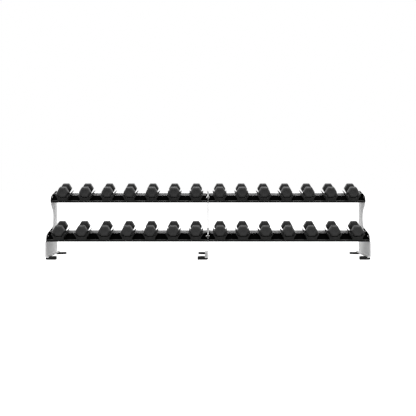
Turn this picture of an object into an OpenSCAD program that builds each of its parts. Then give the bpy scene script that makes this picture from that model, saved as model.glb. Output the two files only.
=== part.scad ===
// Two-tier saddle rack with a full set of hexagonal dumbbells.
// X runs along the rack, the user stands on the -Y side and Z is up.
// The origin is the middle of the footprint, on the floor.

/* [Rack] */
// Length over the outer faces of the end uprights
rack_len = 3200; // [2600:10:4200]
// Depth of the uprights from front edge to rear edge
upright_depth = 600; // [500:5:760]
// Height of the bottom deck's front fold above the floor
deck_front_z = 196; // [165:1:260]
// Height from the bottom deck's front fold up to the top deck's
tier_rise = 376; // [310:1:460]
// How far the top deck is set back behind the bottom deck
tier_setback = 222; // [185:1:270]
// Slope of the decks, down towards the user
tilt = 9.5; // [6:0.5:12]

/* [Uprights] */
// Thickness of the upright plates
plate_t = 10; // [6:0.5:12]
// Width of the floor flange, from the outer face
flange_w = 35; // [33:1:60]
// Outer radius of the bend at the floor flange
bend_r = 18; // [12:1:24]
// Height of the plate's edge above the bottom deck
plate_rise_bottom = 40; // [30:1:46]
// Height of the plate's edge above the top deck, where the plate rises beside the tray
plate_rise_top = 40; // [38:1:44]
// Height of the plate's edge above the top deck's line, at the rear edge
plate_rise_rear = 28; // [20:1:40]
// How far behind the front edge the neck opens
neck_y = 292; // [250:1:330]
// How deep the neck is cut in from there
neck_depth = 122; // [60:1:150]
// How far behind a deck's front fold the plate rises beside the tray
rise_setback = 60; // [45:1:66]

/* [Trays] */
// Depth of a deck, front fold to rear fold
deck_len = 278; // [240:1:340]
// How far the bottom deck's front fold stands behind the uprights' front edges
deck_inset = 2; // [0:1:20]
// Thickness of the tray sheet
tray_t = 3; // [2:0.5:5]
// Depth of the front lip below the deck
lip_h = 19; // [12:1:30]
// Depth of the rear lip below the deck
rear_lip_h = 22; // [20:1:30]
// Thickness of the end plates
cheek_t = 4; // [3:0.5:6]
// How far an end plate reaches behind its deck
cheek_tail = 47; // [22:1:70]
// Height of an end plate above the deck
cheek_h = 45; // [36:1:60]
// Height of an end plate's front edge above the deck
cheek_front_h = 6; // [2:1:20]
// Length of the long curve at the front of an end plate
cheek_curve = 115; // [60:1:150]
// Height of the rear rail above the deck
rail_h = 28; // [28:1:50]
// Depth of the rail's top return
rail_return = 13; // [8:1:16]
// Thickness of the rail sheet
rail_t = 3; // [2:0.5:4]

/* [Dumbbells] */
// Gap from an end upright to the middle of its nearest dumbbell
outer_gap = 120; // [100:1:146]
// Gap from the middle upright to the middle of its nearest dumbbell
middle_gap = 115; // [96:1:140]
// Width of a head across its flats
head_af = 104; // [86:1:125]
// Length of one head
head_len = 65; // [54:1:78]
// Overall length of a dumbbell
dumbbell_len = 260; // [217:1:262]
// Diameter of the handle
handle_d = 34; // [28:0.5:40]
// Depth of the handle's seat in a head
handle_seat = 30; // [24:1:48]

/* [Saddles] */
// Length of a saddle
saddle_len = 270; // [228:1:274]
// Width of a saddle at its tips
saddle_w = 142; // [124:1:156]
// Width of a saddle on the deck
saddle_base_w = 96; // [77:1:110]
// Height at which a saddle's wings start to flare
flare_h = 22; // [14:1:24]
// Height of the trough's floor above the deck
seat_h = 28; // [24:1:40]
// Height of the tips above the deck
saddle_h = 56; // [46:1:62]
// Thickness of a saddle's tips
tip_w = 4; // [3:0.5:8]

/* [Feet] */
// Thickness of the feet under the flange
foot_h = 20; // [16:1:26]
// Height of a front foot beside the flange
front_foot_h = 29; // [24:1:36]
// Length of a front foot along the upright
front_foot_len = 88; // [70:1:110]
// Length of a rear foot along the upright
rear_foot_len = 56; // [46:1:90]
// How far a foot reaches inwards from the outer face
foot_reach = 107; // [90:1:130]
// Radius of a foot's inner corner, seen from above
foot_corner_r = 48; // [10:1:50]

/* [Fasteners] */
// Distance of the front tray bolts behind the front fold
front_bolt_s = 80; // [78:1:110]
// Distance of the rear tray bolts behind the front fold
rear_bolt_s = 216; // [180:1:260]
// Height of the front tray bolts above the deck
front_bolt_n = 16; // [13:0.5:20]
// Height of the rear tray bolts above the deck
rear_bolt_n = 28; // [13:0.5:30]
// Diameter of the tray bolts
bolt_d = 12; // [10:0.5:14]
// Width of the tray bolts' heads
bolt_head_d = 18; // [17:0.5:22]
// Diameter of the small screws
screw_d = 6; // [5:0.5:8]

/* [Hidden] */
DUMBBELLS_PER_BAY = 7;
TIER_NAMES = ["bottom", "top"];
function two_digits(i) = str(i < 10 ? "0" : "", i);
function dumbbell_name(tier, i) = str("dumbbell_", TIER_NAMES[tier], "_", two_digits(i));

$fn = 48;
// Clearances: a bolt in its hole, a handle in its head, a dumbbell over its saddle
bolt_fit = 0.5;
tapped_fit = 0.05;
handle_fit = 0.05;
seat_gap = 0.3;
cut = 1; // how far a cut runs past a face

bolt_head_h = 5;
nut_h = 8;
screw_head_d = 2 * screw_d;
screw_head_h = 0.6 * screw_d;
flange_inset = 1; // gap between the flange's edge and the raised part of a front foot
foot_inset = 6; // from the outer face to a foot's outer side
foot_end_gap = 2; // from the uprights' ends to the feet
screw_reach = 12; // depth of a small screw in a moulded piece

// The bay between two uprights, and the rows of dumbbells in it
bay_low = plate_t / 2;
bay_high = rack_len / 2 - plate_t;
tray_low = bay_low + cheek_t;
tray_high = bay_high - cheek_t;
pitch = (bay_high - outer_gap - bay_low - middle_gap) / (DUMBBELLS_PER_BAY - 1);
stations = [for (i = [0:DUMBBELLS_PER_BAY - 1]) bay_low + middle_gap + i * pitch];

// Along and across a deck: s runs back from the front fold, n stands up from the deck
dumbbell_s = (deck_len - dumbbell_len) / 2;
saddle_s = (deck_len - saddle_len) / 2;
axis_n = seat_h + seat_gap + head_af / 2;
cheek_len = deck_len + cheek_tail;
tray_bolt_places = [[front_bolt_s, front_bolt_n], [rear_bolt_s, rear_bolt_n]];
screw_s = [saddle_s + 50, saddle_s + saddle_len - 50];
rail_screw_n = -tray_t - (rear_lip_h - tray_t) / 2;

// Depths in the uprights' own frame: 0 is the front edge of the uprights
function deck_y(tier, s, n) = tier * tier_setback + deck_inset + s * cos(tilt) - n * sin(tilt);
function deck_z(tier, s, n) = tier * tier_rise + deck_front_z + s * sin(tilt) + n * cos(tilt);
// Height of the line n above a deck, at a depth y
function line_z(tier, n, y) = deck_z(tier, (y - deck_y(tier, 0, n)) / cos(tilt), n);

// The dumbbells' top front edges on the bottom tier are the rack's foremost line
front_y = deck_y(0, dumbbell_s, axis_n + head_af / 2);
middle_y = (front_y + upright_depth) / 2;

// The neck lies between the bottom tray's line and the underside of the arm for the top tray
arm_depth = 32; // of the plate under the front of the top tray
neck_top = [neck_y, deck_z(1, rise_setback, -lip_h) - arm_depth];
neck_low = [neck_y, line_z(0, plate_rise_bottom, neck_y)];
neck_mid = [neck_y + neck_depth, (neck_top[1] + neck_low[1]) / 2];
outer_r = 24; // radius of the uprights' exposed corners
ledge_gap = 1; // between the lower body's ledge and the bottom tray
bend_top_z = foot_h + bend_r;

function arc(y, z, r, from, to, steps = 10) =
    [for (i = [0:steps]) let (a = from + (to - from) * i / steps) [y + r * cos(a), z + r * sin(a)]];

// Children drawn on a deck: X along the rack, Y along s, Z along n
module on_deck(tier) {
    translate([0, deck_y(tier, 0, 0) - middle_y, deck_z(tier, 0, 0)]) rotate([tilt, 0, 0]) children();
}

// An outline in Y and Z, made t thick from x towards +X
module side_sheet(x, t) {
    translate([x, 0, 0]) rotate([90, 0, 90]) linear_extrude(t) children();
}

// An outline in X and Z, run back from y for a length
module run_back(y, length) {
    translate([0, y + length, 0]) rotate([90, 0, 0]) linear_extrude(length) children();
}

// A round bar along X, from x to x + length
module bar_x(x, length, d) {
    translate([x, 0, 0]) rotate([0, 90, 0]) cylinder(d = d, h = length);
}

module each_side() {
    children();
    mirror([1, 0, 0]) children();
}

module side_of(bay) {
    if (bay == "left") mirror([1, 0, 0]) children();
    else children();
}

// ---- Uprights ----

function on_deck_2d(tier, s, n) = [deck_y(tier, s, n), deck_z(tier, s, n)];

// The plate's rounded front corner beside a tray, where its edge comes forward along the line n
function rise_corner(tier, n) =
    [for (p = arc(rise_setback + outer_r, n - outer_r, outer_r, 90, 180)) on_deck_2d(tier, p[0], p[1])];

module plate_outline() {
    ledge_n = -lip_h - ledge_gap;
    ledge_z = line_z(0, ledge_n, 0);
    top_rear_z = line_z(1, plate_rise_rear, upright_depth);
    difference() {
        union() {
            // Lower body: a ledge under the bottom tray's front, then a rise beside the tray
            polygon(concat(
                [[upright_depth, bend_top_z], [upright_depth, line_z(0, plate_rise_bottom, upright_depth)]],
                rise_corner(0, plate_rise_bottom),
                [on_deck_2d(0, rise_setback, ledge_n), [ledge_gap, ledge_z], [0, ledge_z - ledge_gap],
                 [0, bend_top_z]]
            ));
            // Spine, and the arm beside the top tray
            polygon(concat(
                [[neck_y, neck_top[1]], [neck_y, deck_front_z], [upright_depth, deck_front_z]],
                arc(upright_depth - outer_r, top_rear_z - outer_r - outer_r * sin(tilt) / 2, outer_r, 0, 90 + tilt),
                rise_corner(1, plate_rise_top),
                [[on_deck_2d(1, rise_setback, -lip_h)[0], neck_top[1]]]
            ));
        }
        neck_cut();
    }
}

function bezier(a, b, c, d, steps = 12) = [
    for (k = [0:steps]) let (f = k / steps, g = 1 - f) g * g * g * a + 3 * g * g * f * b + 3 * g * f * f * c + f * f * f * d
];

// The opening between the tiers: a flatter curve above its deepest point than below it
module neck_cut() {
    upper = neck_top[1] - neck_mid[1];
    lower = neck_mid[1] - neck_low[1];
    polygon(concat(
        [[neck_y - cut, neck_low[1]], [neck_y - cut, neck_top[1]]],
        bezier(neck_top, neck_top + [neck_depth * 0.44, -upper * 0.32], neck_mid + [0, upper * 0.48], neck_mid),
        bezier(neck_mid, neck_mid - [0, lower * 0.44], neck_low + [neck_depth * 0.84, lower * 0.1], neck_low)
    ));
}

// The plate's foot in X and Z: a quarter bend, then the floor flange
module bend_outline() {
    difference() {
        translate([bend_r, bend_top_z]) circle(r = bend_r);
        translate([bend_r, bend_top_z]) circle(r = bend_r - plate_t);
        translate([bend_r, foot_h - cut]) square([bend_r + cut, 2 * bend_r + 2 * cut]);
        translate([-cut, bend_top_z]) square([2 * bend_r, bend_r + cut]);
    }
    translate([bend_r, foot_h]) square([flange_w - bend_r, plate_t]);
}

// Places of the feet's screws: halfway across the flange's flat part
foot_screw_x = (bend_r + flange_w) / 2;
foot_starts = [foot_end_gap, upright_depth - foot_end_gap - rear_foot_len];
foot_lens = [front_foot_len, rear_foot_len];
foot_screw_ys = [for (i = [0, 1]) each [foot_starts[i] + foot_lens[i] / 4, foot_starts[i] + foot_lens[i] * 3 / 4]];

// Outer face at X = 0, flange towards +X
module upright(tray_hole_d) {
    color("lightgray") difference() {
        union() {
            translate([0, -middle_y, 0]) side_sheet(0, plate_t) plate_outline();
            run_back(-middle_y, upright_depth) bend_outline();
        }
        at_tray_bolts() bar_x(-cut, plate_t + 2 * cut, tray_hole_d);
        for (y = foot_screw_ys)
            translate([foot_screw_x, y - middle_y, foot_h - cut])
                cylinder(d = screw_d + 2 * bolt_fit, h = plate_t + 2 * cut);
    }
}

module upright_left() {
    translate([-rack_len / 2, 0, 0]) upright(bolt_d + 2 * tapped_fit);
}

module upright_right() {
    mirror([1, 0, 0]) upright_left();
}

module upright_middle() {
    translate([plate_t / 2, 0, 0]) mirror([1, 0, 0]) upright(bolt_d + 2 * bolt_fit);
}

// ---- Feet ----

// In X and Z: rounded under the plate's bend, with a step beside the flange
module foot_front_outline(inner_h) {
    round_r = foot_h * 0.7;
    polygon(concat(
        arc(foot_inset + round_r, round_r, round_r, 180, 270),
        [[foot_reach, 0], [foot_reach, inner_h], [flange_w + flange_inset, inner_h],
         [flange_w + flange_inset, foot_h], [foot_inset, foot_h]]
    ));
}

// In X and Y: the inner corner towards the middle of the upright is rounded off
module foot_plan(start, length) {
    is_front = start < upright_depth / 2;
    corner_y = is_front ? start + length - foot_corner_r : start + foot_corner_r;
    far_y = is_front ? start : start + length;
    near_y = is_front ? start + length : start;
    turn = is_front ? 1 : -1;
    polygon(concat(
        [[foot_inset, far_y], [foot_reach, far_y]],
        arc(foot_reach - foot_corner_r, corner_y, foot_corner_r, 0, 90 * turn),
        [[foot_inset, near_y]]
    ));
}

// Under the flange of an upright whose outer face is at X = 0
module foot(start, length, inner_h) {
    color("black") translate([0, -middle_y, 0]) difference() {
        intersection() {
            run_back(start, length) foot_front_outline(inner_h);
            linear_extrude(inner_h) foot_plan(start, length);
        }
        for (y = foot_screw_ys)
            translate([foot_screw_x, y, foot_h - screw_reach]) cylinder(d = screw_d, h = screw_reach + cut);
    }
}

module at_upright(place) {
    if (place == "left") translate([-rack_len / 2, 0, 0]) children();
    else if (place == "right") translate([rack_len / 2, 0, 0]) mirror([1, 0, 0]) children();
    else translate([plate_t / 2, 0, 0]) mirror([1, 0, 0]) children();
}

module foot_node(place, end) {
    at_upright(place) {
        if (end == "front") foot(foot_starts[0], front_foot_len, front_foot_h);
        else foot(foot_starts[1], rear_foot_len, foot_h);
    }
}

// ---- Trays ----

// Children at each screw of the row of saddles in one bay
module at_saddle_screws() {
    for (x = stations, s = screw_s) translate([x, s, 0]) children();
}

rail_screws_per_bay = 4;
rail_screw_step = (tray_high - tray_low) / rail_screws_per_bay;
// Children at each rail screw of one bay, turned so that +Z runs back along s
module at_rail_screws() {
    for (i = [0:rail_screws_per_bay - 1])
        translate([tray_low + (i + 0.5) * rail_screw_step, deck_len, rail_screw_n]) rotate([-90, 0, 0]) children();
}

module tray(tier, bay) {
    color([0.06, 0.06, 0.065]) side_of(bay) on_deck(tier) difference() {
        side_sheet(tray_low, tray_high - tray_low) polygon([
            [0, -lip_h], [tray_t, -lip_h], [tray_t, -tray_t], [deck_len - tray_t, -tray_t],
            [deck_len - tray_t, -rear_lip_h], [deck_len, -rear_lip_h], [deck_len, 0], [0, 0]
        ]);
        at_saddle_screws() translate([0, 0, -tray_t - cut])
            cylinder(d = screw_d + 2 * bolt_fit, h = tray_t + 2 * cut);
        at_rail_screws() translate([0, 0, -tray_t - cut])
            cylinder(d = screw_d + 2 * bolt_fit, h = tray_t + 2 * cut);
    }
}

module rail(tier, bay) {
    color("lightgray") side_of(bay) on_deck(tier) difference() {
        side_sheet(tray_low, tray_high - tray_low) polygon([
            [deck_len, -rear_lip_h], [deck_len + rail_t, -rear_lip_h], [deck_len + rail_t, rail_h - rail_t],
            [deck_len + rail_return, rail_h - rail_t], [deck_len + rail_return, rail_h], [deck_len, rail_h]
        ]);
        at_rail_screws() translate([0, 0, -cut]) cylinder(d = screw_d + 2 * bolt_fit, h = rail_t + 2 * cut);
    }
}

module cheek_outline() {
    rise = cheek_h - cheek_front_h;
    curve_r = (pow(cheek_curve, 2) + pow(rise, 2)) / (2 * rise);
    corner = 12;
    polygon(concat(
        [[0, -lip_h], [cheek_len, -lip_h], [cheek_len, cheek_h - corner], [cheek_len - corner, cheek_h]],
        arc(cheek_curve, cheek_h - curve_r, curve_r, 90, 90 + asin(cheek_curve / curve_r))
    ));
}

module end_plates(tier, bay) {
    color([0.06, 0.06, 0.065]) side_of(bay) on_deck(tier) for (x = [bay_low, tray_high]) difference() {
        side_sheet(x, cheek_t) cheek_outline();
        for (p = tray_bolt_places)
            translate([0, p[0], p[1]]) bar_x(x - cut, cheek_t + 2 * cut, bolt_d + 2 * bolt_fit);
    }
}

// ---- Saddles ----

module saddle_outline() {
    half = saddle_w / 2;
    base_half = saddle_base_w / 2;
    waist_half = base_half + 4;
    floor_half = half - tip_w - (saddle_h - seat_h);
    right = [
        [base_half, 0], [waist_half, flare_h], [half, saddle_h - 4], [half, saddle_h - 1],
        [half - 1, saddle_h], [half - tip_w, saddle_h], [floor_half, seat_h]
    ];
    polygon(concat(right, [for (i = [len(right) - 1:-1:0]) [-right[i][0], right[i][1]]]));
}

module saddles(tier, bay) {
    color([0.1, 0.1, 0.1]) side_of(bay) on_deck(tier) difference() {
        for (x = stations) translate([x, 0, 0]) run_back(saddle_s, saddle_len) saddle_outline();
        at_saddle_screws() translate([0, 0, -cut]) cylinder(d = screw_d, h = screw_reach + cut);
    }
}

// ---- Fasteners ----

// Lies along X from x = 0: the head's underside is there, the head towards -X
module tray_bolt(shank) {
    bar_x(0, shank, bolt_d);
    translate([-bolt_head_h, 0, 0]) rotate([0, 90, 0]) cylinder(d = bolt_head_d / cos(30), h = bolt_head_h, $fn = 6);
}

module at_tray_bolts() {
    for (tier = [0, 1], p = tray_bolt_places) on_deck(tier) translate([0, p[0], p[1]]) children();
}

// Ends: from the inside, tapped into the end uprights. Middle: from the right, through to nuts on the left
module tray_bolts() {
    color("silver") {
        each_side() at_tray_bolts() translate([tray_high, 0, 0]) tray_bolt(cheek_t + plate_t);
        at_tray_bolts() translate([tray_low, 0, 0]) mirror([1, 0, 0]) tray_bolt(2 * cheek_t + plate_t + nut_h + 2);
    }
}

module tray_nuts() {
    color("silver") at_tray_bolts() translate([-tray_low - nut_h, 0, 0]) rotate([0, 90, 0]) difference() {
        cylinder(d = bolt_head_d / cos(30), h = nut_h, $fn = 6);
        translate([0, 0, -cut]) cylinder(d = bolt_d + 2 * tapped_fit, h = nut_h + 2 * cut);
    }
}

// Head above z = 0, shank down from it
module screw(shank, d) {
    cylinder(d = screw_head_d, h = screw_head_h);
    translate([0, 0, -shank]) cylinder(d = d, h = shank + screw_head_h / 2);
}

module foot_screws() {
    color("silver") for (place = ["left", "middle", "right"], y = foot_screw_ys)
        at_upright(place) translate([foot_screw_x, y - middle_y, foot_h + plate_t])
            screw(plate_t + screw_reach - 1, screw_d - 2 * tapped_fit);
}

module saddle_screws() {
    color("silver") for (tier = [0, 1]) each_side() on_deck(tier) at_saddle_screws()
        translate([0, 0, -tray_t]) mirror([0, 0, 1]) screw(tray_t + screw_reach - 1, screw_d - 2 * tapped_fit);
}

module rail_screws() {
    color("silver") for (tier = [0, 1]) each_side() on_deck(tier) at_rail_screws()
        translate([0, 0, rail_t]) screw(rail_t + tray_t + 0.8 * screw_d + 1, screw_d);
}

module rail_nuts() {
    nut_t = 0.8 * screw_d;
    color("silver") for (tier = [0, 1]) each_side() on_deck(tier) at_rail_screws()
        translate([0, 0, -tray_t - nut_t]) difference() {
            cylinder(d = 1.9 * screw_d, h = nut_t, $fn = 6);
            translate([0, 0, -cut]) cylinder(d = screw_d + 2 * tapped_fit, h = nut_t + 2 * cut);
        }
}

// ---- Dumbbells ----

// Along +Y from the front face, with the middle of the handle's axis at X = 0, Z = 0
module dumbbell() {
    grip_start = head_len - handle_seat;
    module head_at(y, seat_y) {
        difference() {
            translate([0, y, 0]) rotate([-90, 0, 0]) cylinder(d = head_af / cos(30), h = head_len, $fn = 6);
            translate([0, seat_y, 0]) rotate([-90, 0, 0])
                cylinder(d = handle_d + 2 * handle_fit, h = handle_seat + 2 * cut);
        }
    }
    head_at(0, grip_start - handle_fit);
    head_at(dumbbell_len - head_len, dumbbell_len - head_len - 2 * cut + handle_fit);
    translate([0, grip_start, 0]) rotate([-90, 0, 0])
        cylinder(d = handle_d, h = dumbbell_len - 2 * grip_start);
}

// Numbered from the left end of each tier
module dumbbell_node(tier, i) {
    from_middle = i - DUMBBELLS_PER_BAY;
    x = from_middle > 0 ? stations[from_middle - 1] : -stations[-from_middle];
    color([0.16, 0.16, 0.16]) on_deck(tier) translate([x, dumbbell_s, axis_n]) dumbbell();
}

upright_left();
upright_middle();
upright_right();
for (place = ["left", "middle", "right"], end = ["front", "rear"])
    foot_node(place, end);
for (tier = [0, 1], bay = ["left", "right"]) {
    end_name = str("_", TIER_NAMES[tier], "_", bay);
    tray(tier, bay);
    rail(tier, bay);
    end_plates(tier, bay);
    saddles(tier, bay);
}
tray_bolts();
tray_nuts();
foot_screws();
saddle_screws();
rail_screws();
rail_nuts();
for (tier = [0, 1], i = [1:2 * DUMBBELLS_PER_BAY])
    dumbbell_node(tier, i);
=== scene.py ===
"""A two-tier saddle rack with its hexagonal dumbbells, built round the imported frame.

Metres throughout. X runs along the rack, the user stands on the -Y side and Z is up.
"""

from math import asin, cos, pi, radians, sin, tan

import bmesh
import bpy
from mathutils import Matrix, Vector


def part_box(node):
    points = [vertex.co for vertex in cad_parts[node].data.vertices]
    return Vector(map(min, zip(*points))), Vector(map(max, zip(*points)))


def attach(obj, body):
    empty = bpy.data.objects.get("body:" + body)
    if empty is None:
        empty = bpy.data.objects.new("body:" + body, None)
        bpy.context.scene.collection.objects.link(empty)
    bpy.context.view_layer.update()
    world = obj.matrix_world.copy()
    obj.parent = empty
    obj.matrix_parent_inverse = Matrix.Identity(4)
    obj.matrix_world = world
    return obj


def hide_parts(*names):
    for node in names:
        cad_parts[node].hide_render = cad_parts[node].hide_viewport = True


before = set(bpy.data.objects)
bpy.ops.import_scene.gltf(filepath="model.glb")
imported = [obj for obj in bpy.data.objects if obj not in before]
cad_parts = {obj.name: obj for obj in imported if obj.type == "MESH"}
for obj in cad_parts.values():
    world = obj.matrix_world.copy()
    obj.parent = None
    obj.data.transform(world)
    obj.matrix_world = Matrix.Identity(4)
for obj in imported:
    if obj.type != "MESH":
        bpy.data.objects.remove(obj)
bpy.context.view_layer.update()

# ---- Sizes that the frame's boxes don't give directly ----
TILT = radians(9.5)  # slope of the decks
DECK_LEN = 0.278
DECK_SHEET = 0.003
LIP_H = 0.019
REAR_LIP_H = 0.022
RAIL_H = 0.028
RAIL_RETURN = 0.013
CHEEK_T = 0.004
CHEEK_LEN = DECK_LEN + 0.047  # an end plate reaches behind its deck
CHEEK_H = 0.045
CHEEK_FRONT_H = 0.006
CHEEK_CURVE = 0.115  # length of the long curve at the front of an end plate
SEAT_H = 0.028  # a saddle's trough above the deck
SEAT_GAP = 0.0003
SADDLE_LEN = 0.270
SADDLE_W = 0.142
SADDLE_BASE_W = 0.096
SADDLE_H = 0.056
SADDLE_FLARE_H = 0.022
SADDLE_TIP_W = 0.004
HEAD_AF = 0.104
HEAD_LEN = 0.065
DUMBBELL_LEN = 0.260
HANDLE_D = 0.034

AXIS_N = SEAT_H + SEAT_GAP + HEAD_AF / 2  # a dumbbell's axis above its deck
TIERS = ("bottom", "top")
BAYS = ("left", "right")
PLACES = ("left", "middle", "right")
RACK = "rack"
DUMBBELLS_PER_TIER = 14
BEND_R = 0.002  # inside the folds of the sheet parts
EDGE_R = 0.0006  # along the cut edges of the sheet parts
SMOOTH_ANGLE = radians(35)  # edges sharper than this stay sharp


def centre(node):
    low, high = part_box(node)
    return (Vector(low) + Vector(high)) / 2


def deck_frame(tier):
    """A deck's matrix: X along the rack, Y back along the deck from its front fold, Z up from it."""
    spot = centre(f"dumbbell_{tier}_01")
    turn = Matrix.Rotation(TILT, 4, "X")
    fold = Vector((0, spot.y, spot.z)) + turn @ Vector((0, -DECK_LEN / 2, -AXIS_N))
    return Matrix.Translation(fold) @ turn


# ---- Materials ----

class Nodes:
    """A material's node tree, with short calls for the nodes that the finishes share."""

    def __init__(self, name):
        self.material = bpy.data.materials.new(name)
        self.material.use_nodes = True
        self.tree = self.material.node_tree
        self.shader = self.tree.nodes["Principled BSDF"]
        self.coords = self.tree.nodes.new("ShaderNodeTexCoord").outputs["Object"]

    def link(self, a, b):
        self.tree.links.new(a, b)

    def noise(self, scale, detail=3.0, roughness=0.5, stretch=None):
        node = self.tree.nodes.new("ShaderNodeTexNoise")
        node.inputs["Scale"].default_value = scale
        node.inputs["Detail"].default_value = detail
        node.inputs["Roughness"].default_value = roughness
        self.link(self.stretched(stretch), node.inputs["Vector"])
        return node.outputs["Fac"]

    def stretched(self, stretch):
        if stretch is None:
            return self.coords
        node = self.tree.nodes.new("ShaderNodeMapping")
        node.inputs["Scale"].default_value = stretch
        self.link(self.coords, node.inputs["Vector"])
        return node.outputs["Vector"]

    def cells(self, scale):
        node = self.tree.nodes.new("ShaderNodeTexVoronoi")
        node.inputs["Scale"].default_value = scale
        self.link(self.coords, node.inputs["Vector"])
        return node.outputs["Distance"]

    def ramp(self, value, stops):
        node = self.tree.nodes.new("ShaderNodeValToRGB")
        first, last = stops[0], stops[-1]
        band = node.color_ramp
        band.elements[0].position, band.elements[0].color = first[0], (*first[1], 1)
        band.elements[1].position, band.elements[1].color = last[0], (*last[1], 1)
        for place, colour in stops[1:-1]:
            band.elements.new(place).color = (*colour, 1)
        self.link(value, node.inputs["Fac"])
        return node.outputs["Color"]

    def spread(self, value, low, high):
        node = self.tree.nodes.new("ShaderNodeMapRange")
        node.inputs["To Min"].default_value = low
        node.inputs["To Max"].default_value = high
        self.link(value, node.inputs["Value"])
        return node.outputs["Result"]

    def combine(self, a, b, operation="ADD"):
        node = self.tree.nodes.new("ShaderNodeMath")
        node.operation = operation
        self.link(a, node.inputs[0])
        self.link(b, node.inputs[1])
        return node.outputs["Value"]

    def times(self, value, factor):
        node = self.tree.nodes.new("ShaderNodeMath")
        node.operation = "MULTIPLY"
        node.inputs[1].default_value = factor
        self.link(value, node.inputs[0])
        return node.outputs["Value"]

    def sine(self, value):
        node = self.tree.nodes.new("ShaderNodeMath")
        node.operation = "SINE"
        self.link(value, node.inputs[0])
        return node.outputs["Value"]

    def bump(self, height, distance, strength=1.0):
        node = self.tree.nodes.new("ShaderNodeBump")
        node.inputs["Distance"].default_value = distance
        node.inputs["Strength"].default_value = strength
        self.link(height, node.inputs["Height"])
        self.link(node.outputs["Normal"], self.shader.inputs["Normal"])

    def finish(self, colour, roughness, metallic=0.0, specular=0.5):
        self.link(colour, self.shader.inputs["Base Color"])
        self.link(roughness, self.shader.inputs["Roughness"])
        self.shader.inputs["Metallic"].default_value = metallic
        self.shader.inputs["Specular IOR Level"].default_value = specular
        return self.material


def grey(value, warmth=0.0):
    return (value + warmth, value, value - warmth)


def powder_coat(name, low, high, rough, specular):
    """Powder coat: a faint cloudiness and the orange peel of a baked film."""
    n = Nodes(name)
    cloud = n.noise(6, detail=4)
    speck = n.noise(260, detail=2)
    tone = n.ramp(n.combine(cloud, speck, "MULTIPLY"), [(0.1, grey(low)), (0.45, grey(high))])
    roughness = n.spread(n.noise(35, detail=5), rough - 0.06, rough + 0.06)
    n.bump(n.noise(420, detail=2, roughness=0.4), 0.00025)
    return n.finish(tone, roughness, specular=specular)


def moulded_plastic(name, low, high):
    """Injection-moulded plastic with a fine spark-eroded grain and faint rub marks."""
    n = Nodes(name)
    tone = n.ramp(n.noise(24, detail=6, roughness=0.6), [(0.3, grey(low)), (0.75, grey(high))])
    roughness = n.spread(n.noise(60, detail=4), 0.48, 0.66)
    n.bump(n.cells(900), 0.0003)
    return n.finish(tone, roughness, specular=0.25)


def rubber(name, low, high, rough=0.6, specular=0.3):
    """Moulded rubber: dull, mottled by handling, with a soft grain."""
    n = Nodes(name)
    mottle = n.noise(38, detail=7, roughness=0.62)
    tone = n.ramp(mottle, [(0.32, grey(low)), (0.55, grey((low + high) / 2)), (0.78, grey(high))])
    roughness = n.spread(n.noise(70, detail=5), rough - 0.1, rough + 0.1)
    n.bump(n.combine(n.noise(700, detail=3), mottle), 0.0004)
    return n.finish(tone, roughness, specular=specular)


def zinc_plate(name):
    n = Nodes(name)
    tone = n.ramp(n.noise(90, detail=5), [(0.3, grey(0.30, 0.004)), (0.7, grey(0.46, 0.006))])
    roughness = n.spread(n.noise(240, detail=3), 0.28, 0.45)
    n.bump(n.noise(800, detail=2), 0.0001)
    return n.finish(tone, roughness, metallic=1.0)


def knurled_chrome(name):
    """Satin chrome whose diamond knurl is two sets of crossed helical grooves."""
    n = Nodes(name)
    turns, pitch = 30, 0.0022  # grooves round the bar, and metres along it for one groove
    split = n.tree.nodes.new("ShaderNodeSeparateXYZ")
    n.link(n.coords, split.inputs["Vector"])
    angle = n.combine(split.outputs["X"], split.outputs["Z"], "ARCTAN2")
    along = n.times(split.outputs["Y"], 2 * pi / pitch)
    left_hand, right_hand = (n.sine(n.combine(n.times(angle, turns * hand), along)) for hand in (1, -1))
    n.bump(n.combine(left_hand, right_hand, "MAXIMUM"), 0.0004, 0.8)
    tone = n.ramp(n.noise(55, detail=5), [(0.3, grey(0.42)), (0.75, grey(0.62))])
    return n.finish(tone, n.spread(n.noise(120, detail=4), 0.22, 0.4), metallic=1.0)


GREY_PAINT = powder_coat("light_grey_powder_coat", 0.68, 0.78, 0.45, 0.35)
BLACK_PAINT = powder_coat("black_powder_coat", 0.001, 0.0025, 0.30, 0.0)
# Black for the front fold: its lighter base colour is a painted highlight along the fold, and its
# higher specular is a real sheen.
FOLD_HIGHLIGHT_BLACK = powder_coat("black_powder_coat_painted_fold_highlight", 0.004, 0.010, 0.30, 0.5)
SADDLE_PLASTIC = moulded_plastic("black_moulded_saddle", 0.006, 0.014)
HEAD_RUBBER = rubber("black_head_rubber", 0.004, 0.014, rough=0.5, specular=0.5)
FOOT_RUBBER = rubber("black_foot_rubber", 0.002, 0.006, rough=0.7)
ZINC = zinc_plate("bright_zinc")
CHROME = knurled_chrome("knurled_satin_chrome")


# ---- Mesh building ----

def finished_mesh(name, bm, material):
    """A mesh from a bmesh, with its material, shaded smooth up to SMOOTH_ANGLE."""
    bmesh.ops.recalc_face_normals(bm, faces=bm.faces)
    mesh = bpy.data.meshes.new(name)
    bm.to_mesh(mesh)
    bm.free()
    mesh.materials.append(material)
    mesh.shade_smooth()
    mesh.set_sharp_from_angle(angle=SMOOTH_ANGLE)
    return mesh


def place_piece(name, mesh, matrix, body, replaced_node):
    """An object in the scene that moves with a body and stands in for a node of the frame."""
    obj = bpy.data.objects.new(name, mesh)
    bpy.context.scene.collection.objects.link(obj)
    obj.matrix_world = matrix
    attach(obj, body)
    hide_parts(replaced_node)


def loft(bm, rings):
    """Quads between rings of points that all have the same count, with n-gons over both ends."""
    rows = [[bm.verts.new(p) for p in ring] for ring in rings]
    for a, b in zip(rows, rows[1:]):
        for i in range(len(a)):
            j = (i + 1) % len(a)
            bm.faces.new((a[i], a[j], b[j], b[i]))
    bm.faces.new(rows[0])
    bm.faces.new(rows[-1])


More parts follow.
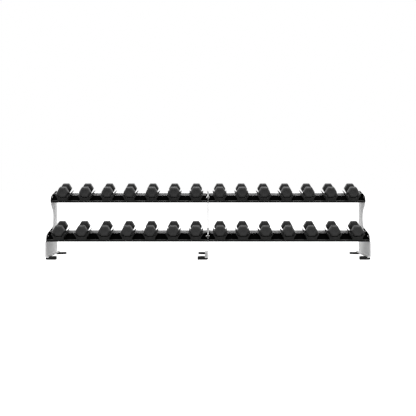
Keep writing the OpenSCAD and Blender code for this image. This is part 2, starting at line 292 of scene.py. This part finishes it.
def rounded(points, radii, steps=5):
    """A closed outline with its corners rounded, each by its own radius."""
    out = []
    count = len(points)
    for i, (p, r) in enumerate(zip(points, radii)):
        here = Vector(p)
        to_last = (Vector(points[i - 1]) - here).normalized()
        to_next = (Vector(points[(i + 1) % count]) - here).normalized()
        half = to_last.angle(to_next) / 2
        middle = here + (to_last + to_next).normalized() * (r / sin(half))
        start = here + to_last * (r / tan(half)) - middle
        end = here + to_next * (r / tan(half)) - middle
        sweep = start.angle(end)
        for k in range(steps + 1):
            f = k / steps
            a, b = sin((1 - f) * sweep) / sin(sweep), sin(f * sweep) / sin(sweep)
            out.append(tuple(middle + start * a + end * b))
    return out


def sheet_outline(path):
    """The outline of a folded sheet: path is its outer line, and the sheet lies to its right."""
    count = len(path)
    inner = []
    for i, p in enumerate(path):
        here = Vector(p)
        sides = []
        if i > 0:
            sides.append((here - Vector(path[i - 1])).normalized())
        if i < count - 1:
            sides.append((Vector(path[i + 1]) - here).normalized())
        normals = [Vector((d.y, -d.x)) for d in sides]
        mean = sum(normals, Vector((0, 0))).normalized()
        inner.append(tuple(here + mean * (DECK_SHEET / mean.dot(normals[0]))))
    outline = list(path) + inner[::-1]
    outer_r = [EDGE_R] + [BEND_R + DECK_SHEET] * (count - 2) + [EDGE_R]
    inner_r = [EDGE_R] + [BEND_R] * (count - 2) + [EDGE_R]
    return rounded(outline, outer_r + inner_r[::-1], steps=6)


def along_x(outline, x0, x1):
    """An outline in Y and Z as a bar from x0 to x1, its end edges eased."""
    chamfer = 0.0005
    middle = sum((Vector(p) for p in outline), Vector((0, 0))) / len(outline)

    def ring(x, inset):
        pulled = [Vector(p) + (middle - Vector(p)).normalized() * inset for p in outline]
        return [(x, p.x, p.y) for p in pulled]

    bm = bmesh.new()
    loft(bm, [ring(x0, chamfer), ring(x0 + chamfer, 0), ring(x1 - chamfer, 0), ring(x1, chamfer)])
    return bm


def plate(outline, x0, x1, edge):
    """A flat plate with an outline in Y and Z, between x0 and x1, its edges bevelled."""
    bm = bmesh.new()
    loft(bm, [[(x0, y, z) for y, z in outline], [(x1, y, z) for y, z in outline]])
    rims = [e for e in bm.edges if abs(e.verts[0].co.x - e.verts[1].co.x) < 1e-9]
    bmesh.ops.bevel(bm, geom=rims, offset=edge, segments=2, profile=0.6, affect="EDGES")
    return bm


def spin(profile, steps=48):
    """A closed body from (y, radius) pairs, round the Y axis."""
    bm = bmesh.new()
    loft(bm, [
        [(r * cos(2 * pi * k / steps), y, r * sin(2 * pi * k / steps)) for k in range(steps)]
        for y, r in profile
    ])
    return bm


def arc(y, z, r, start, end, steps):
    angles = [start + (end - start) * k / steps for k in range(steps + 1)]
    return [(y + r * cos(a), z + r * sin(a)) for a in angles]


# ---- Dumbbells ----

HEX_CORNER_R = 0.011


def hexagon(inradius, corner_r):
    """A hexagon in X and Z with flats above and below, its corners rounded."""
    corner = inradius / cos(pi / 6)
    points = [(corner * cos(k * pi / 3), corner * sin(k * pi / 3)) for k in range(6)]
    return rounded(points, [corner_r] * 6)


def ring_at(y, inset):
    """The head's section, made smaller by inset, with corners that get tighter as it shrinks."""
    outline = hexagon(HEAD_AF / 2 - inset, max(HEX_CORNER_R - inset * 0.35, 0.003))
    return [(x, y, z) for x, z in outline]


def circle_at(y, radius):
    """A circle with as many points as the hexagon's rings, in the same directions."""
    flat = [Vector((x, z)) for x, z in hexagon(HEAD_AF / 2, HEX_CORNER_R)]
    return [(radius * p.normalized().x, y, radius * p.normalized().y) for p in flat]


def add_head(bm, outward):
    """One head, centred on the handle's axis, with its outer face on the outward side along Y."""
    bevel_deep, bevel_wide, bevel_steps = 0.013, 0.018, 6
    dish_r, dish_deep, dish_wall, dish_lip = 0.0295, 0.0016, 0.0022, 0.0006
    hub_r = 0.006  # the innermost ring of the dish, closed by one face
    inner_bevel = 0.004
    collar_reach, collar_wide, collar_edge = 0.004, 0.006, 0.0015
    outer_face = outward * DUMBBELL_LEN / 2

    def ring(depth, inset):
        return ring_at(outer_face - outward * depth, inset)

    def circle(depth, radius):
        return circle_at(outer_face - outward * depth, radius)

    rings = [
        circle(dish_deep, hub_r),
        circle(dish_deep, dish_r - dish_wall),
        circle(dish_deep * 0.6, dish_r - dish_wall * 0.5),
        circle(0.0002, dish_r),
        circle(0, dish_r + dish_lip),
    ]
    for k in reversed(range(bevel_steps + 1)):
        a = pi / 2 * k / bevel_steps
        rings.append(ring(bevel_deep * (1 - sin(a)), bevel_wide * (1 - cos(a))))
    handle_r = HANDLE_D / 2
    collar_end = HEAD_LEN + collar_reach
    rings += [
        ring(HEAD_LEN - inner_bevel, 0),
        ring(HEAD_LEN - inner_bevel * 0.3, inner_bevel * 0.25),
        ring(HEAD_LEN, inner_bevel),
        circle(HEAD_LEN, handle_r + collar_wide),
        circle(collar_end - 0.0005, handle_r + collar_wide - collar_edge),
        circle(collar_end, handle_r + collar_wide - collar_edge * 2),
        circle(collar_end, handle_r - 0.004),
    ]
    loft(bm, rings)


def heads_body():
    bm = bmesh.new()
    for outward in (-1, 1):
        add_head(bm, outward)
    return bm


def handle_body():
    """The bar between the heads: a slight barrel, a groove by each head, and ends inside the heads."""
    inner = DUMBBELL_LEN / 2 - HEAD_LEN
    groove = inner - 0.009
    end = inner + 0.01
    end_r = HANDLE_D / 2 - 0.0026
    barrel = 0.0016  # how much thinner the grip gets from its middle to its ends
    steps = 12
    grip = []
    for k in range(-steps, steps + 1):
        y = groove * 0.93 * k / steps
        grip.append((y, HANDLE_D / 2 - barrel * (k / steps) ** 2))
    return spin([(-end, end_r), (-groove, end_r)] + grip + [(groove, end_r), (end, end_r)])


HEADS_MESH = finished_mesh("heads", heads_body(), HEAD_RUBBER)
HANDLE_MESH = finished_mesh("handle", handle_body(), CHROME)


def dumbbell_places():
    """Each dumbbell's tier, number and matrix: its origin at the middle of the handle."""
    for tier in TIERS:
        for number in range(1, DUMBBELLS_PER_TIER + 1):
            spot = centre(f"dumbbell_{tier}_{number:02d}")
            yield tier, number, Matrix.Translation(spot) @ Matrix.Rotation(TILT, 4, "X")


for tier, number, place in dumbbell_places():
    node = f"dumbbell_{tier}_{number:02d}"
    place_piece(f"heads_{tier}_{number:02d}", HEADS_MESH, place, node, node)
    place_piece(f"handle_{tier}_{number:02d}", HANDLE_MESH, place, node, node)


# ---- Saddles ----

def saddle_outline():
    """Across a saddle, with its own axis at X = 0 and the deck at Z = 0."""
    half, base = SADDLE_W / 2, SADDLE_BASE_W / 2
    floor_half = half - SADDLE_TIP_W - (SADDLE_H - SEAT_H)
    right = [
        (base, 0), (base + 0.004, SADDLE_FLARE_H), (half, SADDLE_H - 0.004),
        (half - SADDLE_TIP_W * 0.4, SADDLE_H), (floor_half, SEAT_H),
    ]
    radii = [0.0015, 0.014, 0.0016, 0.0016, 0.008]
    left = [(-x, z) for x, z in right[::-1]]
    return rounded(right + left, radii + radii[::-1])


def saddle_body():
    """A saddle along Y: eased ends, and shallow grip grooves across its trough."""
    outline = saddle_outline()
    half_len = SADDLE_LEN / 2
    ease = 0.003
    pull = Vector((0, SEAT_H * 0.5))
    groove_deep, groove_half, groove_step, grooves_a_side = 0.0009, 0.0016, 0.013, 9
    # Each station is (y, share of the ease, share of the groove's depth)
    stations = [(-half_len, 1, 0), (-half_len + ease * 0.3, 0.4, 0), (-half_len + ease, 0, 0)]
    for k in range(-grooves_a_side, grooves_a_side + 1):
        y = k * groove_step
        stations += [(y - groove_half, 0, 0), (y - groove_half * 0.4, 0, 1)]
        stations += [(y + groove_half * 0.4, 0, 1), (y + groove_half, 0, 0)]
    stations += [(half_len - ease, 0, 0), (half_len - ease * 0.3, 0.4, 0), (half_len, 1, 0)]
    rings = []
    for y, eased, groove in stations:
        ring = []
        for x, z in outline:
            p = Vector((x, z))
            p += (pull - p).normalized() * ease * eased
            on_floor = abs(x) < SADDLE_W * 0.27 and z > SEAT_H * 0.5
            ring.append((p.x, y, max(p.y, 0) - (groove_deep * groove if on_floor else 0)))
        rings.append(ring)
    bm = bmesh.new()
    loft(bm, rings)
    return bm


SADDLE_MESH = finished_mesh("saddle", saddle_body(), SADDLE_PLASTIC)

for tier, number, place in dumbbell_places():
    bay = BAYS[number > DUMBBELLS_PER_TIER // 2]
    on_deck = place @ Matrix.Translation((0, 0, -AXIS_N))
    name = f"saddle_{tier}_{number:02d}"
    place_piece(name, SADDLE_MESH, on_deck, RACK, f"saddles_{tier}_{bay}")


# ---- Trays, rails and end plates ----

TRAY_OUTLINE = sheet_outline([(0, -LIP_H), (0, 0), (DECK_LEN, 0), (DECK_LEN, -REAR_LIP_H)])
RAIL_OUTLINE = sheet_outline(
    [(DECK_LEN, -REAR_LIP_H), (DECK_LEN, RAIL_H), (DECK_LEN + RAIL_RETURN, RAIL_H)]
)
CHEEK_RISE = CHEEK_H - CHEEK_FRONT_H
CHEEK_R = (CHEEK_CURVE ** 2 + CHEEK_RISE ** 2) / (2 * CHEEK_RISE)
CHEEK_SWEEP = asin(CHEEK_CURVE / CHEEK_R)
CHEEK_FRONT_CUT = 0.002
CHEEK_REAR_CUT = 0.012
CHEEK_OUTLINE = (
    [(CHEEK_FRONT_CUT, -LIP_H), (0, -LIP_H + CHEEK_FRONT_CUT)]
    + arc(CHEEK_CURVE, CHEEK_H - CHEEK_R, CHEEK_R, pi / 2 + CHEEK_SWEEP, pi / 2, steps=24)
    + [(CHEEK_LEN - CHEEK_REAR_CUT, CHEEK_H), (CHEEK_LEN, CHEEK_H - CHEEK_REAR_CUT)]
    + [(CHEEK_LEN, -LIP_H)]
)


def paint_fold_highlight(mesh):
    """The front fold gets a lighter, glossier black: the lighter colour is a painted highlight along
    the fold, the gloss a real sheen.
    """
    mesh.materials.append(FOLD_HIGHLIGHT_BLACK)
    for face in mesh.polygons:
        in_fold = face.center.y < 2 * DECK_SHEET and face.normal.y < -0.1 and face.normal.z > 0.1
        if in_fold:
            face.material_index = 1


def add_tray(tier, bay):
    """A tray with its rail and its two end plates."""
    place = deck_frame(tier)
    low, high = (corner[0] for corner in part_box(f"tray_{tier}_{bay}"))

    deck = finished_mesh("deck", along_x(TRAY_OUTLINE, low, high), BLACK_PAINT)
    paint_fold_highlight(deck)
    place_piece(f"deck_{tier}_{bay}", deck, place, RACK, f"tray_{tier}_{bay}")

    rail = finished_mesh("back_rail", along_x(RAIL_OUTLINE, low, high), GREY_PAINT)
    place_piece(f"back_rail_{tier}_{bay}", rail, place, RACK, f"rail_{tier}_{bay}")

    for side, x0 in (("low", low - CHEEK_T), ("high", high)):
        cheek = finished_mesh("cheek", plate(CHEEK_OUTLINE, x0, x0 + CHEEK_T, 0.0007), BLACK_PAINT)
        name = f"cheek_{tier}_{bay}_{side}"
        place_piece(name, cheek, place, RACK, f"end_plates_{tier}_{bay}")


for tier in TIERS:
    for bay in BAYS:
        add_tray(tier, bay)


# ---- Carried-over CAD nodes ----

def repaint(node, material, bevel):
    """A node of the frame with its own finish and its edges eased."""
    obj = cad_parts[node]
    obj.data.materials.clear()
    obj.data.materials.append(material)
    ease = obj.modifiers.new("eased_edges", "BEVEL")
    ease.width = bevel
    ease.segments = 2
    ease.limit_method = "ANGLE"
    ease.angle_limit = radians(40)


for place in PLACES:
    repaint(f"upright_{place}", GREY_PAINT, 0.0008)
    for end in ("front", "rear"):
        repaint(f"foot_{place}_{end}", FOOT_RUBBER, 0.003)
for node in ("tray_bolts", "tray_nuts", "foot_screws", "saddle_screws", "rail_screws", "rail_nuts"):
    repaint(node, ZINC, 0.0006)


# ---- Camera, floor and light ----

LENS_PX = 795  # focal length in units of the frame's width of 416
FRAME_W = 416
EYE_H = 0.834
EYE_DIST = 7.8  # from the uprights' front edges
HORIZON_UP = 33.2  # how far the horizon lies above the frame's middle, in the same units

front_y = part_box("upright_left")[0][1]
camera_data = bpy.data.cameras.new("camera")
camera_data.lens = camera_data.sensor_width * LENS_PX / FRAME_W
camera_data.shift_y = -HORIZON_UP / FRAME_W
camera_data.clip_end = 100
camera = bpy.data.objects.new("camera", camera_data)
camera.location = (0, front_y - EYE_DIST, EYE_H)
camera.rotation_euler = (pi / 2, 0, 0)
bpy.context.scene.collection.objects.link(camera)
bpy.context.scene.camera = camera


def add_floor(size, albedo):
    """A pale floor that only the camera sees as white."""
    bm = bmesh.new()
    bmesh.ops.create_grid(bm, x_segments=1, y_segments=1, size=size / 2)
    mesh = bpy.data.meshes.new("floor")
    bm.to_mesh(mesh)
    bm.free()
    floor = bpy.data.objects.new("floor", mesh)
    bpy.context.scene.collection.objects.link(floor)
    material = bpy.data.materials.new("floor")
    material.use_nodes = True
    tree = material.node_tree
    shader = tree.nodes["Principled BSDF"]
    shader.inputs["Base Color"].default_value = (*grey(albedo), 1)
    shader.inputs["Roughness"].default_value = 0.9
    shader.inputs["Specular IOR Level"].default_value = 0.0
    shader.inputs["Emission Color"].default_value = (1, 1, 1, 1)
    light_path = tree.nodes.new("ShaderNodeLightPath")
    tree.links.new(light_path.outputs["Is Camera Ray"], shader.inputs["Emission Strength"])
    mesh.materials.append(material)


def area_light(name, place, target, size, power):
    data = bpy.data.lights.new(name, "AREA")
    data.shape = "RECTANGLE"
    data.size, data.size_y = size
    data.energy = power
    light = bpy.data.objects.new(name, data)
    light.location = place
    light.rotation_euler = (Vector(target) - Vector(place)).to_track_quat("-Z", "Y").to_euler()
    bpy.context.scene.collection.objects.link(light)


add_floor(size=60, albedo=0.5)
area_light("overhead", (0, 0.2, 4.0), (0, 0.2, 0.3), (6.5, 2.4), 180)
area_light("front_fill", (0, -6.5, 2.8), (0, 0, 0.4), (7.0, 2.0), 5)
for name, side in (("side_fill_left", -1), ("side_fill_right", 1)):
    area_light(name, (side * 5.0, -2.6, 1.0), (side * -1.6, 0.3, 0.3), (2.2, 1.6), 20)

world = bpy.data.worlds.new("studio")
world.use_nodes = True
backdrop = world.node_tree.nodes["Background"]
backdrop.inputs["Color"].default_value = (1, 1, 1, 1)
backdrop.inputs["Strength"].default_value = 1.0
bpy.context.scene.world = world
bpy.context.scene.view_settings.view_transform = "Standard"
